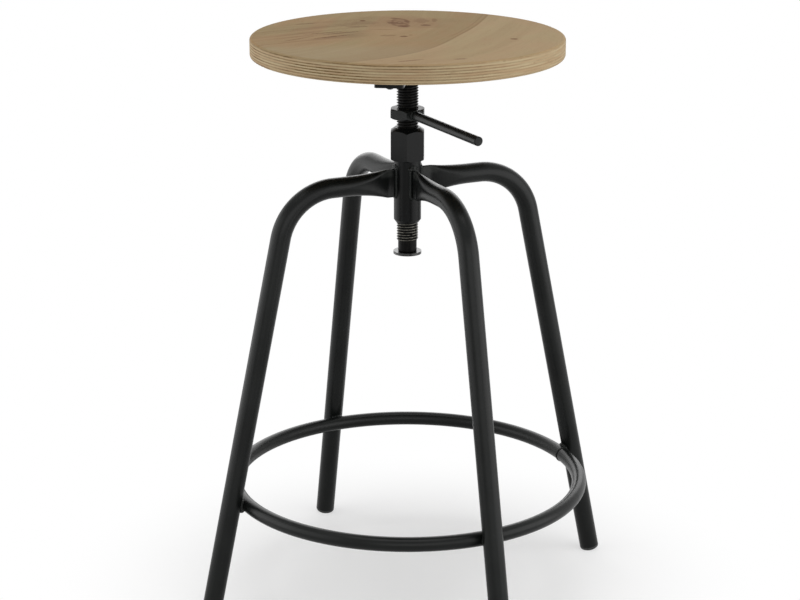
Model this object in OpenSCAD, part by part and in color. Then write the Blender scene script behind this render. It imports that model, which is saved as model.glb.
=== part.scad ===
// Screw-height stool: a round plywood seat on a threaded spindle, held by a hexagon
// hub on four bent tube legs that are tied together by a round foot ring.
// The origin is on the floor under the spindle, +Z is up and the front is -Y.

/* [Seat] */
// Diameter of the round seat
seat_d = 340; // [300:1:380]
// Thickness of the plywood seat, face leaf included
seat_t = 21; // [18:0.5:30]
// Radius that eases the seat's upper and lower edge
seat_edge_r = 3.2; // [1.5:0.1:4]
// Thickness of the oak face leaf
leaf_t = 1.2; // [0.6:0.1:2]

/* [Seat bracket] */
// Radius that the ends of the bracket's four arms reach
bracket_reach = 160; // [140:1:166]
// Width of an arm
bracket_w = 30; // [24:1:36]
// Thickness of the bracket
bracket_t = 5; // [4:0.5:8]
// Direction of the first arm from the +X axis
bracket_angle = 13; // [0:1:89]
// Distance of a seat bolt from its arm's end
bolt_inset = 10; // [8:0.5:30]
// Thread diameter of a seat bolt
bolt_d = 6; // [5:0.5:6.5]
// Length of a seat bolt under its head
bolt_len = 16; // [14:1:17]
// Diameter of a seat bolt's button head
bolt_head_d = 10.5; // [10:0.1:12]
// Height of a seat bolt's button head
bolt_head_h = 3.3; // [3:0.1:4]
// Key width of the hexagon sockets in the bolts
socket_af = 4; // [3:0.5:5]
// Outer diameter of a threaded insert in the seat
insert_d = 10; // [9:0.5:12]
// Length of a threaded insert
insert_len = 13; // [12:0.5:14]

/* [Spindle] */
// Outer diameter of the spindle's thread
thread_d = 24; // [20:0.5:26]
// Pitch of the spindle's thread
thread_pitch = 3; // [2:0.25:3]
// Depth of the thread
thread_depth = 1.6; // [1:0.1:1.8]
// Length of the spindle from its lower end to the bracket
spindle_len = 213.5; // [190:0.5:240]
// Length of the plain neck at the spindle's lower end
neck_len = 10.5; // [6:0.5:16]
// Length of the plain shank under the bracket
shank_len = 16; // [8:1:22]
// Diameter of the spigot that is welded into the bracket
spigot_d = 16; // [12:0.5:18]
// Diameter of the stop washer under the spindle
stop_d = 31; // [28:0.5:36]
// Thickness of the stop washer
stop_t = 3; // [3:0.25:5]
// Thread diameter of the countersunk stop screw
stop_screw_d = 6; // [5:0.5:8]
// Length of the stop screw
stop_screw_len = 20; // [14:1:30]

/* [Hub] */
// Key width of the hub's hexagon
hub_af = 36; // [34:0.5:40]
// Height of the hub's hexagon
hub_hex_h = 36; // [28:1:44]
// Height of the hexagon's lower end above the middle of the leg ends
hub_hex_above_leg = 23.5; // [21:0.5:32]
// Outer diameter of the round sleeve below the hexagon
sleeve_d = 30; // [29:0.5:32]
// Length of the sleeve below the middle of the leg ends
sleeve_below_leg = 47; // [38:0.5:54]
// Direction of one corner of the hexagon from the +X axis
hub_corner_angle = -72; // [-90:1:0]
// Radial clearance between the spindle and what it runs in
thread_clearance = 0.1; // [0.05:0.05:0.3]
// Space between the sleeve and the stop washer: the lift that is left
stop_gap = 33; // [15:0.5:50]

/* [Lock nut] */
// Key width of the lock nut
nut_af = 36; // [34:0.5:40]
// Height of the lock nut
nut_h = 11; // [10.5:0.5:14]
// Space between the hub and the lock nut
nut_gap = 10; // [2:0.5:20]
// Diameter of the lock lever
lever_d = 10; // [7:0.5:10]
// Distance of the lever's tip from the spindle's axis
lever_reach = 160; // [110:1:180]
// Direction of the lever from the +X axis
lever_angle = -43; // [-90:0.1:90]

/* [Legs] */
// Outer diameter of a leg tube
leg_d = 22; // [20:0.5:25]
// Wall of a leg tube
leg_wall = 1.5; // [1:0.1:1.8]
// Height of the legs' level upper stretch above the floor
leg_top_z = 480.5; // [440:0.5:520]
// Radius at which the legs' axes meet the floor
leg_foot_r = 243; // [225:1:265]
// Outward lean of the legs
leg_splay = 12.1; // [9:0.1:14]
// Radius of the knee's bend, at the middle of the tube
leg_bend_r = 63; // [50:1:70]
// Height of the flattened leg end at the hub
blade_h = 32; // [30:0.5:36]
// Distance of the flattened end's middle below the tube's axis
blade_drop = 1.8; // [0:0.1:3]
// Thickness of the flattened leg end at the hub
blade_t = 4.4; // [4:0.2:6]
// Radius from the hub up to which the leg end stays flat
blade_flat_r = 25; // [20:0.5:36]
// Radius from the hub at which the leg is a full round tube again
blade_end_r = 76; // [60:1:78]
// Thickness of a foot cap below the tube
cap_head = 4; // [3:0.5:6]
// Radius of a foot cap's rounded edge
cap_edge_r = 2.5; // [1.5:0.1:2.8]
// Length of a foot cap's plug inside the tube
cap_plug = 16; // [10:1:25]
// Depth of the small flat that rests on the floor
foot_flat = 0.4; // [0.2:0.1:0.8]

/* [Foot ring] */
// Height of the foot ring's middle above the floor
ring_z = 132; // [100:1:200]
// Diameter of the foot ring's tube
ring_d = 16; // [12:0.5:20]
// Wall of the foot ring's tube
ring_wall = 1.5; // [1:0.1:2]
// Depth that each leg is let into the ring where it is welded
ring_seat_depth = 0.4; // [0.2:0.1:0.8]
// Direction of the ring's closing weld from the +X axis
ring_seam_angle = 41.3; // [30:0.1:41.5]
// Radius of the weld between the ring and a leg
ring_weld_r = 6.5; // [5:0.5:8]
// Radius of the weld bead along a leg end at the hub
hub_weld_r = 3; // [2:0.25:4]

/* [Hidden] */
$fn = 96;
TUBE_FN = 64;
SMALL_FN = 32;
LEG_SIDES = 24;
LOFT_RINGS = 12;
BEND_RINGS = 10;

// How far a cutting shape passes the surface that it cuts
CUT = 1;
// Width of the foot ring's closing weld along the ring, and how far it stands proud of the tube
SEAM_W = 3.2;
SEAM_PROUD = 0.5;
// Slope of the cones that the two hexagons are turned to, and how far the cones clear the corners
HEX_CHAMFER_ANGLE = 35;
HEX_CORNER_OVER = 0.01;
// Depth of the turned cone under the hub's hexagon, and width of the flat round its bore on top
HUB_CHAMFER_IN = 2.4;
HUB_TOP_FLAT = 2;
// Width of the flat round the bore at the sleeve's lower end, and height of its taper over its width
SLEEVE_END_FLAT = 0.6;
SLEEVE_TAPER = 1.4;
// Corner radius of the bracket's arms and play of the bolts in their holes
BRACKET_CORNER_R = 3;
BOLT_HOLE_PLAY = 0.6;
// Play of a bolt in its insert, and space above an insert
BOLT_PLAY = 0.1;
INSERT_END_GAP = 0.5;
// Shares of a head's height that its hexagon socket takes up
BUTTON_SOCKET = 0.6;
FLAT_SOCKET = 0.7;
// Play round the stop screw in the washer and in the spindle, and space past its end
WASHER_PLAY = 0.25;
SCREW_PLAY = 0.05;
SCREW_END_GAP = 2;
// Chamfer on the lever's tip
LEVER_TIP_CHAMFER = 0.8;
// Clearance of a foot cap's plug in its tube, and of a leg's end on the sleeve
CAP_CLEARANCE = 0.15;
BLADE_FIT = 0.03;
// How far a bead at the hub is let in between the leg and the sleeve, as a share of its radius
BEAD_IN = 0.7;
// How fast a pressed leg end opens to a full round tube: 1 is steady, more is faster at first
PRESS_POWER = 2.2;

leg_angles = [-45, 45, 135, 225];
bracket_angles = [for (i = [0:3]) bracket_angle + 90 * i];
bolt_circle_r = bracket_reach - bolt_inset;

// Heights of the stack, from the hub up
sleeve_r = sleeve_d / 2;
sleeve_bottom_z = leg_top_z - sleeve_below_leg;
hex_bottom_z = leg_top_z + hub_hex_above_leg;
hub_top_z = hex_bottom_z + hub_hex_h;
nut_z = hub_top_z + nut_gap;
spindle_z = sleeve_bottom_z - stop_gap;
bracket_z = spindle_z + spindle_len;
seat_z = bracket_z + bracket_t;
seat_top_z = seat_z + seat_t;

// Thread
thread_r = thread_d / 2 - thread_clearance;
bore_r = thread_d / 2;
root_r = thread_r - thread_depth;
thread_start_z = spindle_z + neck_len;
thread_turns = floor((spindle_len - neck_len - shank_len) / thread_pitch);
shank_z = thread_start_z + thread_turns * thread_pitch;

// Legs
leg_r = leg_d / 2;
blade_root_r = sleeve_r + BLADE_FIT;
bend_centre_z = leg_top_z - leg_bend_r;
knee_r = leg_foot_r - leg_top_z * tan(leg_splay);
bend_start_r = knee_r - leg_bend_r * tan((90 - leg_splay) / 2);
bend_end_z = bend_centre_z + leg_bend_r * sin(leg_splay);
straight_top = bend_end_z / cos(leg_splay);
cap_rim_r = leg_r - cap_edge_r;
cap_lift = cap_rim_r * sin(leg_splay) + cap_edge_r * (1 - cos(leg_splay)) - foot_flat;
cap_bottom = cap_lift / cos(leg_splay);
tube_end = cap_bottom + cap_head;

// Foot ring
ring_leg_r = leg_foot_r - ring_z * tan(leg_splay);
ring_r = ring_leg_r - (leg_r + ring_d / 2 - ring_seat_depth) / cos(leg_splay);

// The share by which a pressed tube has opened again: fast at first, then ever slower
function opened(t) = 1 - pow(1 - t, PRESS_POWER);

// A tube end flattened to a slot shape: half height h, half thickness w
function slot_section(h, w) = [
    for (i = [0:LEG_SIDES - 1])
        let (a = (i + 0.5) * 360 / LEG_SIDES)
        [w * cos(a), (h - w) * sign(sin(a)) + w * sin(a)]
];

// Stations along a leg's axis in its own plane: x, z, turn of the section, half height, half thickness
function flat_station(t) = let (
    r = blade_root_r + (blade_end_r - blade_root_r) * t,
    e = opened(max(0, (r - blade_flat_r) / (blade_end_r - blade_flat_r)))
) [
    r, leg_top_z - blade_drop * (1 - e), 0,
    blade_h / 2 + (leg_r - blade_h / 2) * e, blade_t / 2 + (leg_r - blade_t / 2) * e
];

function bend_station(turn) = [
    bend_start_r + leg_bend_r * sin(turn), bend_centre_z + leg_bend_r * cos(turn), turn, leg_r, leg_r
];

leg_stations = concat(
    [for (k = [0:LOFT_RINGS]) flat_station(k / LOFT_RINGS)],
    [for (k = [0:BEND_RINGS]) bend_station((90 - leg_splay) * k / BEND_RINGS)],
    [[leg_foot_r - tube_end * sin(leg_splay), tube_end * cos(leg_splay), 90 - leg_splay, leg_r, leg_r]]
);

// One ring of the tube; wall is 0 on the outside. The first ring is hollowed to sit on the round sleeve
function station_ring(k, wall) = let (s = leg_stations[k]) [
    for (p = slot_section(s[3] - wall, s[4] - wall)) [
        k == 0 ? sqrt(pow(blade_root_r, 2) - pow(p[0], 2)) : s[0] + p[1] * sin(s[2]),
        p[0],
        s[1] + p[1] * cos(s[2])
    ]
];

// Triangles that join rings of n points each, the last one to the first, as down a tube and back up its bore
function tube_faces(rings, n) = [
    for (k = [0:rings - 1]) for (i = [0:n - 1]) let (
        here = k * n,
        next = (k + 1) % rings * n,
        j = (i + 1) % n
    ) each [[here + i, next + i, here + j], [here + j, next + i, next + j]]
];

module polar(angle, radius = 0) {
    rotate([0, 0, angle]) translate([radius, 0, 0]) children();
}

module hexagon(af) {
    circle(d = af / cos(30), $fn = 6);
}

// Hexagon prism whose two ends are turned to a cone, as bar stock is
module turned_hexagon(af, height, top_r, bottom_r) {
    corner_r = af / cos(30) / 2 + HEX_CORNER_OVER;
    top_h = (corner_r - top_r) * tan(HEX_CHAMFER_ANGLE);
    bottom_h = (corner_r - bottom_r) * tan(HEX_CHAMFER_ANGLE);
    intersection() {
        linear_extrude(height) hexagon(af);
        rotate_extrude() polygon([
            [0, 0], [bottom_r, 0], [corner_r, bottom_h],
            [corner_r, height - top_h], [top_r, height], [0, height]
        ]);
    }
}

// Seat
module seat_blank() {
    r = seat_d / 2;
    e = seat_edge_r;
    translate([0, 0, seat_z]) rotate_extrude($fn = 180) {
        square([r - e, seat_t]);
        translate([0, e]) square([r, seat_t - 2 * e]);
        translate([r - e, e]) circle(e);
        translate([r - e, seat_t - e]) circle(e);
    }
}

module seat_core() {
    color("burlywood") difference() {
        seat_blank();
        translate([0, 0, seat_top_z - leaf_t]) cylinder(h = leaf_t + CUT, d = seat_d + CUT);
        for (a = bracket_angles) polar(a, bolt_circle_r) translate([0, 0, seat_z - CUT])
            cylinder(h = insert_len + INSERT_END_GAP + CUT, d = insert_d);
    }
}

module seat_face_leaf() {
    color("tan") intersection() {
        seat_blank();
        translate([0, 0, seat_top_z - leaf_t]) cylinder(h = leaf_t + CUT, d = seat_d + CUT);
    }
}

module bracket_arm() {
    c = BRACKET_CORNER_R;
    translate([0, -bracket_w / 2]) square([bracket_reach - c, bracket_w]);
    translate([0, -bracket_w / 2 + c]) square([bracket_reach, bracket_w - 2 * c]);
    for (side = [-1, 1]) translate([bracket_reach - c, side * (bracket_w / 2 - c)]) circle(c, $fn = SMALL_FN);
}

module seat_bracket() {
    color("dimgray") translate([0, 0, bracket_z]) linear_extrude(bracket_t) difference() {
        for (a = bracket_angles) polar(a) bracket_arm();
        circle(d = spigot_d);
        for (a = bracket_angles) polar(a, bolt_circle_r) circle(d = bolt_d + BOLT_HOLE_PLAY);
    }
}

// Button-head bolt with its head down, as seen under the seat
module button_bolt() {
    dome_r = (pow(bolt_head_d / 2, 2) + pow(bolt_head_h, 2)) / (2 * bolt_head_h);
    difference() {
        union() {
            intersection() {
                translate([0, 0, dome_r - bolt_head_h]) sphere(dome_r);
                translate([0, 0, -bolt_head_h]) cylinder(h = bolt_head_h, d = bolt_head_d);
            }
            cylinder(h = bolt_len, d = bolt_d - BOLT_PLAY);
        }
        translate([0, 0, -bolt_head_h - CUT])
            linear_extrude(bolt_head_h * BUTTON_SOCKET + CUT) hexagon(socket_af);
    }
}

module seat_bolts() {
    color("black") for (a = bracket_angles) polar(a, bolt_circle_r) translate([0, 0, bracket_z])
        button_bolt();
}

module seat_inserts() {
    color("darkkhaki") for (a = bracket_angles) polar(a, bolt_circle_r) translate([0, 0, seat_z])
        difference() {
            cylinder(h = insert_len, d = insert_d);
            translate([0, 0, -CUT]) cylinder(h = insert_len + 2 * CUT, d = bolt_d);
        }
}

// Spindle
module spindle() {
    crest = thread_pitch / 8;
    flank = thread_pitch * 5 / 16;
    root = thread_pitch / 8;
    screw_hole = stop_screw_len - stop_t + SCREW_END_GAP;
    color("black") difference() {
        rotate_extrude() polygon(concat(
            [[0, spindle_z], [root_r, spindle_z], [root_r, thread_start_z]],
            [for (i = [0:thread_turns - 1], z = thread_start_z + i * thread_pitch) each [
                [root_r, z + root], [thread_r, z + root + flank],
                [thread_r, z + root + flank + crest], [root_r, z + root + 2 * flank + crest]
            ]],
            [[root_r, shank_z], [thread_r, shank_z + thread_depth], [thread_r, bracket_z]],
            [[spigot_d / 2, bracket_z], [spigot_d / 2, seat_z], [0, seat_z]]
        ));
        translate([0, 0, spindle_z - CUT]) cylinder(h = screw_hole + CUT, d = stop_screw_d);
    }
}

// The countersunk screw's outside, made larger by gap
module stop_screw_shape(gap) {
    cylinder(h = stop_screw_d / 2, r1 = stop_screw_d + gap, r2 = stop_screw_d / 2 + gap);
    cylinder(h = stop_screw_len, r = stop_screw_d / 2 + gap);
}

module stop_washer() {
    color("black") translate([0, 0, spindle_z - stop_t]) difference() {
        cylinder(h = stop_t, d = stop_d);
        stop_screw_shape(WASHER_PLAY);
        translate([0, 0, -CUT]) cylinder(h = CUT, r = stop_screw_d + WASHER_PLAY);
    }
}

module stop_screw() {
    color("dimgray") translate([0, 0, spindle_z - stop_t]) difference() {
        stop_screw_shape(-SCREW_PLAY);
        translate([0, 0, -CUT]) linear_extrude(stop_screw_d / 2 * FLAT_SOCKET + CUT) hexagon(socket_af);
    }
}

// Hub
module hub() {
    chamfer = sleeve_r - bore_r - SLEEVE_END_FLAT;
    hex_r = hub_af / cos(30) / 2;
    color("black") difference() {
        union() {
            rotate_extrude() polygon([
                [0, sleeve_bottom_z], [sleeve_r - chamfer, sleeve_bottom_z],
                [sleeve_r, sleeve_bottom_z + chamfer * SLEEVE_TAPER], [sleeve_r, hex_bottom_z + CUT],
                [0, hex_bottom_z + CUT]
            ]);
            translate([0, 0, hex_bottom_z]) rotate([0, 0, hub_corner_angle])
                turned_hexagon(hub_af, hub_hex_h, bore_r + HUB_TOP_FLAT, hex_r - HUB_CHAMFER_IN);
        }
        translate([0, 0, sleeve_bottom_z - CUT])
            cylinder(h = hub_top_z - sleeve_bottom_z + 2 * CUT, r = bore_r);
    }
}

// Weld beads that fill the corner between each flattened leg end and the sleeve
module hub_weld_beads() {
    bead_h = blade_h - 2 * hub_weld_r;
    flare_x = leg_stations[1][0];
    flare_w = leg_stations[1][4];
    color("black") for (a = leg_angles) rotate([0, 0, a]) for (side = [-1, 1])
        translate([0, 0, leg_top_z - blade_drop - bead_h / 2]) linear_extrude(bead_h) difference() {
            translate([sleeve_r, side * (blade_t / 2 + hub_weld_r * BEAD_IN)])
                circle(hub_weld_r, $fn = SMALL_FN);
            circle(sleeve_r);
            polygon([
                [0, -blade_t / 2], [blade_root_r, -blade_t / 2], [flare_x, -flare_w],
                [flare_x, flare_w], [blade_root_r, blade_t / 2], [0, blade_t / 2]
            ]);
        }
}

// Lock nut and lever
module lock_nut() {
    color("black") translate([0, 0, nut_z]) rotate([0, 0, lever_angle + 30]) difference() {
        turned_hexagon(nut_af, nut_h, nut_af / 2, nut_af / 2);
        translate([0, 0, -CUT]) cylinder(h = nut_h + 2 * CUT, r = bore_r);
    }
}

module lock_lever() {
    r = lever_d / 2;
    root_x = nut_af / 2;
    color("black") rotate([0, 0, lever_angle]) translate([root_x, 0, nut_z + nut_h / 2]) rotate([0, 90, 0])
        rotate_extrude() polygon([
            [0, 0], [r, 0], [r, lever_reach - root_x - LEVER_TIP_CHAMFER],
            [r - LEVER_TIP_CHAMFER, lever_reach - root_x], [0, lever_reach - root_x]
        ]);
}

// A bent tube whose upper end is flattened and fitted to the hub's sleeve
module leg(angle) {
    last = len(leg_stations) - 1;
    color("black") rotate([0, 0, angle]) polyhedron(
        points = concat(
            [for (k = [0:last]) each station_ring(k, 0)],
            [for (k = [last:-1:0]) each station_ring(k, leg_wall)]
        ),
        faces = tube_faces(2 * (last + 1), LEG_SIDES)
    );
}

module leg_front_right() {
    leg(leg_angles[0]);
}

module leg_rear_right() {
    leg(leg_angles[1]);
}

module leg_rear_left() {
    leg(leg_angles[2]);
}

module leg_front_left() {
    leg(leg_angles[3]);
}

// Foot caps: a plug in the tube and a rounded head that stands on the floor
module foot_cap(angle) {
    plug_r = leg_r - leg_wall - CAP_CLEARANCE;
    color("black") rotate([0, 0, angle]) difference() {
        translate([leg_foot_r, 0, 0]) rotate([0, -leg_splay, 0]) translate([0, 0, cap_bottom])
            rotate_extrude($fn = TUBE_FN) {
                square([cap_rim_r, cap_edge_r]);
                translate([0, cap_edge_r]) square([leg_r, cap_head - cap_edge_r]);
                intersection() {
                    translate([cap_rim_r, cap_edge_r]) circle(cap_edge_r);
                    square([leg_r, cap_edge_r]);
                }
                square([plug_r, cap_head + cap_plug]);
            }
        translate([leg_foot_r - leg_d, -leg_d, -leg_d]) cube([2 * leg_d, 2 * leg_d, leg_d]);
    }
}

module cap_front_right() {
    foot_cap(leg_angles[0]);
}

module cap_rear_right() {
    foot_cap(leg_angles[1]);
}

module cap_rear_left() {
    foot_cap(leg_angles[2]);
}

module cap_front_left() {
    foot_cap(leg_angles[3]);
}

// Foot ring
module ring_torus(r) {
    translate([0, 0, ring_z]) rotate_extrude($fn = 180) translate([ring_r, 0]) circle(r, $fn = TUBE_FN);
}

module leg_envelope(angle) {
    rotate([0, 0, angle]) translate([leg_foot_r, 0, 0]) rotate([0, -leg_splay, 0])
        cylinder(h = straight_top, r = leg_r, $fn = TUBE_FN);
}

// The hoop with its closing weld and the welds that hold the legs
module foot_ring() {
    r = ring_d / 2;
    contact_r = ring_leg_r - leg_r / cos(leg_splay);
    color("black") difference() {
        union() {
            ring_torus(r);
            polar(ring_seam_angle, ring_r) translate([0, SEAM_W / 2, ring_z]) rotate([90, 0, 0])
                cylinder(h = SEAM_W, r = r + SEAM_PROUD, $fn = TUBE_FN);
            for (a = leg_angles) polar(a, contact_r) translate([0, 0, ring_z])
                sphere(ring_weld_r, $fn = SMALL_FN);
        }
        ring_torus(r - ring_wall);
        for (a = leg_angles) leg_envelope(a);
    }
}

hub();
hub_weld_beads();
leg_front_left();
leg_front_right();
leg_rear_left();
leg_rear_right();
cap_front_left();
cap_front_right();
cap_rear_left();
cap_rear_right();
foot_ring();
spindle();
stop_washer();
stop_screw();
lock_nut();
lock_lever();
seat_bracket();
seat_bolts();
seat_inserts();
seat_core();
seat_face_leaf();
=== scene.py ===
import math

import bmesh
import bpy
from mathutils import Matrix, Vector, noise


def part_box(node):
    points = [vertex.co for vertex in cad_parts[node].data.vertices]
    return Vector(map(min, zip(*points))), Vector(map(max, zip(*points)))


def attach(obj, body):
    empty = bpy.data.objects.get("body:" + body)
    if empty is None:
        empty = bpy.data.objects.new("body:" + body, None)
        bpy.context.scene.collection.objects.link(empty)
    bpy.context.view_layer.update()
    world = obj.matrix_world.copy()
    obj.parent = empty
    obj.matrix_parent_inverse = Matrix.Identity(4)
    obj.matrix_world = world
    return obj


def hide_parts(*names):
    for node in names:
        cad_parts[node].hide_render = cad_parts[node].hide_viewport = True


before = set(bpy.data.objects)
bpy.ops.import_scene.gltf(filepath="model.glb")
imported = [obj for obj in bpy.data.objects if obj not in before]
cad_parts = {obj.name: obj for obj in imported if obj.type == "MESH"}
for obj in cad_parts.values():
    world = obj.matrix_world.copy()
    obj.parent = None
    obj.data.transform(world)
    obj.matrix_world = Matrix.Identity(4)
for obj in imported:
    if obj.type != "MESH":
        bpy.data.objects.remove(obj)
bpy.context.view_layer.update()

MM = 0.001
UP = Vector((0, 0, 1))

# Seat, in the part's own frame
SEAT_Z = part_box("seat_core")[0].z
CORE_TOP_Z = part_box("seat_core")[1].z
SEAT_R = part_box("seat_core")[1].x

# Hub and legs
SLEEVE_R = 15 * MM
LEG_Z = 480.5 * MM
LEG_R = 11 * MM
LEG_WALL = 1.5 * MM
LEG_FOOT_R = 243 * MM
LEG_SPLAY = math.radians(12.1)
LEG_BEND_R = 63 * MM
BLADE_H = 32 * MM
BLADE_DROP = 1.8 * MM
BLADE_T = 4.4 * MM
BLADE_ROOT = SLEEVE_R + 0.03 * MM
BLADE_END = 76 * MM
CAP_HEAD = 4 * MM
CAP_EDGE_R = 2.5 * MM
FOOT_FLAT = 0.4 * MM
LEG_ANGLES = {"front_right": -45, "rear_right": 45, "rear_left": 135, "front_left": 225}

# Foot ring
RING_Z = 132 * MM
RING_TUBE_R = 8 * MM
RING_LET_IN = 0.4 * MM
RING_SEAM_ANGLE = math.radians(41.3)

# Spindle
THREAD_R = 11.9 * MM
ROOT_R = 10.3 * MM
PITCH = 3 * MM
SPINDLE_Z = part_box("spindle")[0].z
BRACKET_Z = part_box("seat_bracket")[0].z
NECK_LEN = 10.5 * MM
SHANK_LEN = 16 * MM
SPIGOT_R = 8 * MM
SCREW_HOLE_R = 3 * MM
SCREW_HOLE_LEN = 19 * MM
SPINDLE_CHAMFER = 0.5 * MM
SLEEVE_BOTTOM_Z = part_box("hub")[0].z

# Lock nut and lever
NUT_TOP_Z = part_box("lock_nut")[1].z
NUT_MID_Z = (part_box("lock_nut")[0].z + NUT_TOP_Z) / 2
NUT_FLAT_R = 18 * MM
LEVER_R = 5 * MM
LEVER_ANGLE = math.radians(-43)


def srgb(red, green, blue):
    """A colour as read off a screen, 0 to 255, made linear."""
    def linear(value):
        share = value / 255
        return share / 12.92 if share <= 0.04045 else ((share + 0.055) / 1.055) ** 2.4
    return linear(red), linear(green), linear(blue), 1


class Term:
    """An output socket. Arithmetic on it adds Math nodes."""

    def __init__(self, nodes, socket):
        self.nodes = nodes
        self.socket = socket

    def math(self, operation, *others):
        terms = dict(enumerate((self,) + others))
        return self.nodes.node("ShaderNodeMath", {"operation": operation}, terms)

    def __add__(self, other):
        return self.math("ADD", other)

    def __sub__(self, other):
        return self.math("SUBTRACT", other)

    def __rsub__(self, other):
        return self.math("MULTIPLY_ADD", -1.0, other)

    def __mul__(self, other):
        return self.math("MULTIPLY", other)

    def __truediv__(self, other):
        return self.math("DIVIDE", other)

    __radd__ = __add__
    __rmul__ = __mul__


class Nodes:
    """Adds nodes to one tree and hands back their output sockets as terms."""

    def __init__(self, tree):
        self.tree = tree
        tree.nodes.clear()

    def node(self, kind, settings=None, inputs=None, out=0):
        node = self.tree.nodes.new(kind)
        for name, value in (settings or {}).items():
            setattr(node, name, value)
        for key, value in (inputs or {}).items():
            if isinstance(value, Term):
                self.tree.links.new(value.socket, node.inputs[key])
            else:
                node.inputs[key].default_value = value
        return Term(self, node.outputs[out])

    def place(self):
        """Where a point is, in millimetres."""
        at = self.node("ShaderNodeTexCoord", out="Object")
        return self.node("ShaderNodeMapping", inputs={"Vector": at, "Scale": (1000, 1000, 1000)})

    def moved(self, vector, middle):
        """The vector counted from another middle."""
        return self.node("ShaderNodeVectorMath", {"operation": "SUBTRACT"}, {0: vector, 1: middle})

    def turned(self, vector, angle):
        return self.node("ShaderNodeMapping", inputs={"Vector": vector, "Rotation": (0, 0, angle)})

    def split(self, vector):
        """The vector's x, y and z."""
        split = self.node("ShaderNodeSeparateXYZ", inputs={0: vector}).socket.node
        return [Term(self, socket) for socket in split.outputs]

    def joined(self, x, y, z):
        return self.node("ShaderNodeCombineXYZ", inputs={0: x, 1: y, 2: z})

    def noise(self, vector, detail=2, roughness=0.5):
        settings = {"noise_dimensions": "3D"}
        inputs = {"Vector": vector, "Scale": 1, "Detail": detail, "Roughness": roughness}
        return self.node("ShaderNodeTexNoise", settings, inputs)

    def spread(self, vector, size):
        """The vector shrunk so that noise on it has features of about this size."""
        return self.node("ShaderNodeVectorMath", {"operation": "SCALE"}, {0: vector, "Scale": 1 / size})

    def fade(self, value, start, end, low=0.0, high=1.0):
        """Goes smoothly from low at start to high at end."""
        inputs = {"Value": value, "From Min": start, "From Max": end, "To Min": low, "To Max": high}
        return self.node("ShaderNodeMapRange", {"interpolation_type": "SMOOTHSTEP"}, inputs)

    def mixed(self, factor, first, second, blend="MIX"):
        settings = {"data_type": "RGBA", "blend_type": blend}
        return self.node("ShaderNodeMix", settings, {0: factor, 6: first, 7: second}, out=2)

    def axis_distance(self, at):
        """How far a point is from the spindle's axis, in millimetres."""
        x, y, z = self.split(at)
        return (x * x + y * y).math("SQRT")

    def bump(self, height, distance):
        return self.node("ShaderNodeBump", inputs={"Height": height, "Distance": distance})

    def surface(self, values):
        """Principled shader with these values, as the tree's surface."""
        shader = self.node("ShaderNodeBsdfPrincipled", inputs=values)
        self.node_output("ShaderNodeOutputMaterial", shader)

    def node_output(self, kind, shader):
        output = self.tree.nodes.new(kind)
        self.tree.links.new(shader.socket, output.inputs["Surface"])


def new_material(name):
    """An empty material and the maker of its nodes."""
    material = bpy.data.materials.new(name)
    material.use_nodes = True
    return material, Nodes(material.node_tree)


# A painted highlight: the upper part of each pressed leg end near the hub is coloured lighter and made a
# little rougher. From how far out to how far, above what height, and how softly it fades, in millimetres
GLINT_START = 19
GLINT_END = 35
GLINT_LOW = 484
GLINT_SOFTNESS = 2
# The painted highlight's colour, and the dust's colour
PAINTED_GLINT = srgb(56, 58, 56)
COAT_DUST = srgb(52, 56, 53)


def powder_coat(name, dark, light, specular, roughness, glint_share):
    """Satin black powder coat: fine orange peel, faint cloudiness, a little dust on top, painted highlight
    by the hub.
    """
    material, m = new_material(name)
    at = m.place()
    z = m.split(at)[2]
    cloud = m.noise(m.spread(at, 34), detail=3)
    peel = m.noise(m.spread(at, 0.9), detail=2, roughness=0.6)
    speck = m.noise(m.spread(at, 2.6), detail=2)
    rough = m.noise(m.spread(at, 5), detail=3)
    colour = m.mixed(m.fade(cloud, 0.3, 0.7), dark, light)
    colour = m.mixed(m.fade(speck, 0.62, 0.78) * 0.15, colour, COAT_DUST)
    # Painted highlight: a lighter, rougher patch on the upper pressed leg ends, between two distances from
    # the axis
    out = m.axis_distance(at) + 8 * (rough - 0.5)
    inside_end = m.fade(out, GLINT_END + GLINT_SOFTNESS, GLINT_END - GLINT_SOFTNESS)
    past_start = m.fade(out, GLINT_START - GLINT_SOFTNESS, GLINT_START + GLINT_SOFTNESS)
    glint = glint_share * inside_end * past_start * m.fade(z, GLINT_LOW, GLINT_LOW + 5)
    colour = m.mixed(glint * (0.2 + 0.4 * rough), colour, PAINTED_GLINT)
    m.surface({
        "Base Color": colour,
        "Roughness": roughness + 0.1 * cloud + 0.06 * peel + 0.15 * glint,
        "Specular IOR Level": specular,
        "Normal": m.bump(peel, 0.05 * MM),
    })
    return material


def weld_coat():
    """The same coat over weld beads, glossier where it has run thin."""
    material, m = new_material("coated_weld")
    at = m.place()
    lumps = m.noise(m.spread(at, 1.6), detail=3, roughness=0.6)
    colour = m.mixed(m.fade(lumps, 0.35, 0.7), srgb(15, 17, 16), srgb(30, 33, 31))
    m.surface({
        "Base Color": colour,
        "Roughness": 0.3 + 0.2 * lumps,
        "Specular IOR Level": 0.16,
        "Normal": m.bump(lumps, 0.25 * MM),
    })
    return material


# How far from the axis a hand starts to rub the lever, and where it rubs it most, in millimetres
HAND_START = 118
HAND_FULL = 152


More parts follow.
